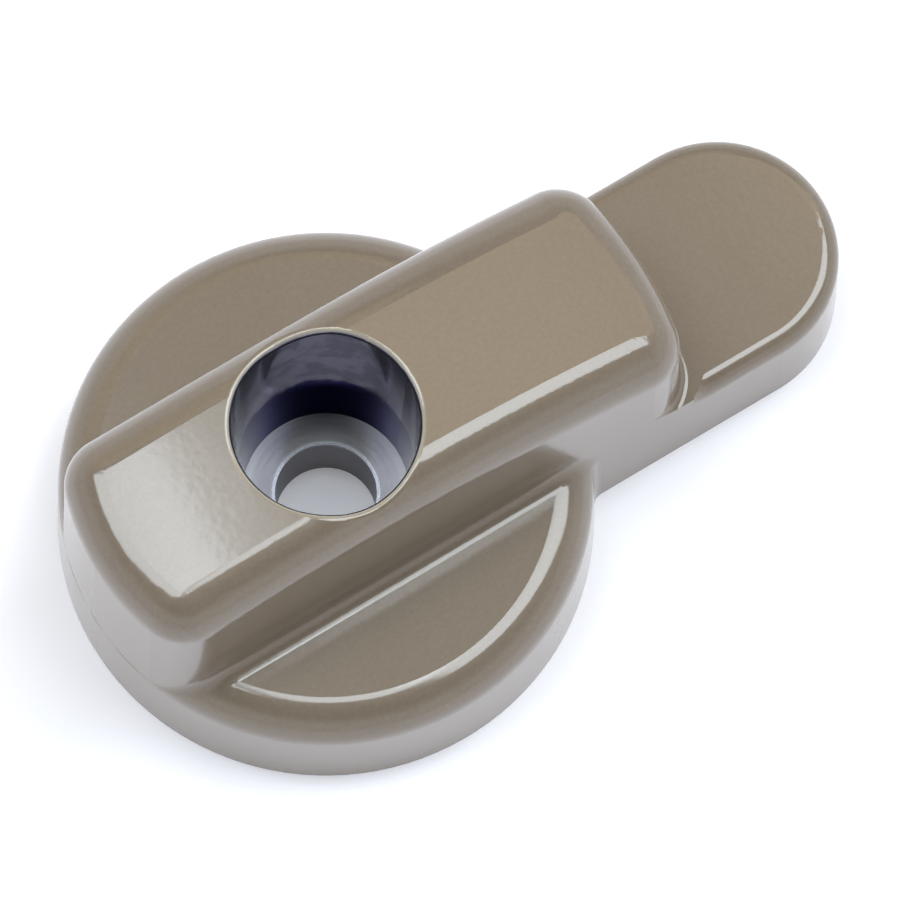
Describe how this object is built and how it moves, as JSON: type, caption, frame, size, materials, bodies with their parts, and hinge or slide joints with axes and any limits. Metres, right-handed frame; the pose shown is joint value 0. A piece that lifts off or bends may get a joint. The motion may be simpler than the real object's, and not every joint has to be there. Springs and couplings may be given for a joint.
{
  "type": "turn button",
  "caption": "Turn button for a screen door: a round pad with a tall finger grip and a low tongue that laps over the frame, turned about a sunk screw.",
  "frame": {"origin": "on the pivot axis, in the flat underside that meets the door", "axes": "+X from the pivot along the tongue, +Z away from the door along the screw's bore"},
  "size_m": [0.0397, 0.025, 0.0143],
  "materials": {
    "coated_zinc": "smooth taupe-brown metallic coating, satin to glossy, over die-cast zinc; bright bare zinc inside the screw's recess and bore"
  },
  "bodies": {
    "root": {"turn_button": "coated_zinc"}
  },
  "joints": []
}
